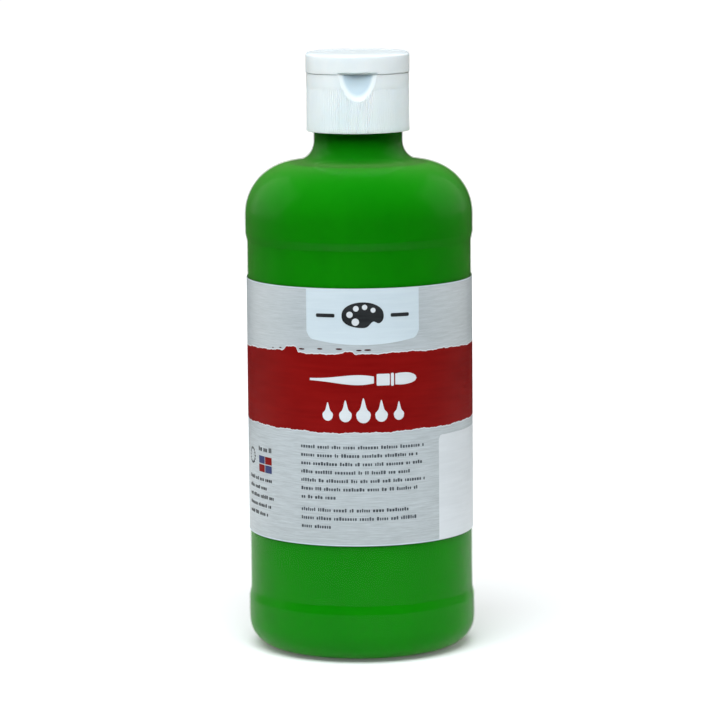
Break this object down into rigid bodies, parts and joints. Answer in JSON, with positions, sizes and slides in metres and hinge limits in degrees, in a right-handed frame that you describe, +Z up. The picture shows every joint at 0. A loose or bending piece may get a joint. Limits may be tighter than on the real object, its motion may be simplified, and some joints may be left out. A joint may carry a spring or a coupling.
{
  "type": "paint squeeze bottle",
  "caption": "Round plastic squeeze bottle of green acrylic paint with a wrap-round label and a white ribbed screw closure that has a flip lid on a living hinge.",
  "frame": {"origin": "centre of the base ring's resting plane, on the bottle's axis", "axes": "+Z up along the bottle's axis; -Y is the front, with the thumb scoop and the label's face; +Y is the back, with the hinge and the label's overlap"},
  "size_m": [0.0696, 0.0696, 0.1822],
  "materials": {
    "bottle_wall": "clear natural, satin gloss",
    "paint": "wet",
    "label_film": "printed film, brushed silver",
    "washer_foam": "foam",
    "closure": "satin"
  },
  "bodies": {
    "bottle_body": {"bottle": "bottle_wall", "paint_fill": "paint", "label": "label_film"},
    "washer": {"seal_washer": "washer_foam"},
    "closure": {"cap_base": "closure", "hinge_strip_left": "closure", "hinge_strip_right": "closure", "snap_band": "closure"},
    "flip_lid": {"lid": "closure"}
  },
  "joints": [
    {"name": "cap_lift", "type": "slide", "parent": "bottle_body", "child": "washer", "axis": [0, 0, 1], "range_m": [0, 0.0192]},
    {"name": "cap_turn", "type": "hinge", "parent": "washer", "child": "closure", "pos_m": [0, 0, 0.1625], "axis": [0, 0, 1], "range_deg": [0, 1620]},
    {"name": "lid_hinge", "type": "hinge", "parent": "closure", "child": "flip_lid", "pos_m": [0, 0.01457, 0.17595], "axis": [-1, 0, 0], "range_deg": [0, 175], "deforming": ["hinge_strip_left", "hinge_strip_right", "snap_band"]}
  ],
  "couplings": [
    {"joint": "cap_lift", "follows": "cap_turn", "m_per_rad": 0.00067375}
  ]
}
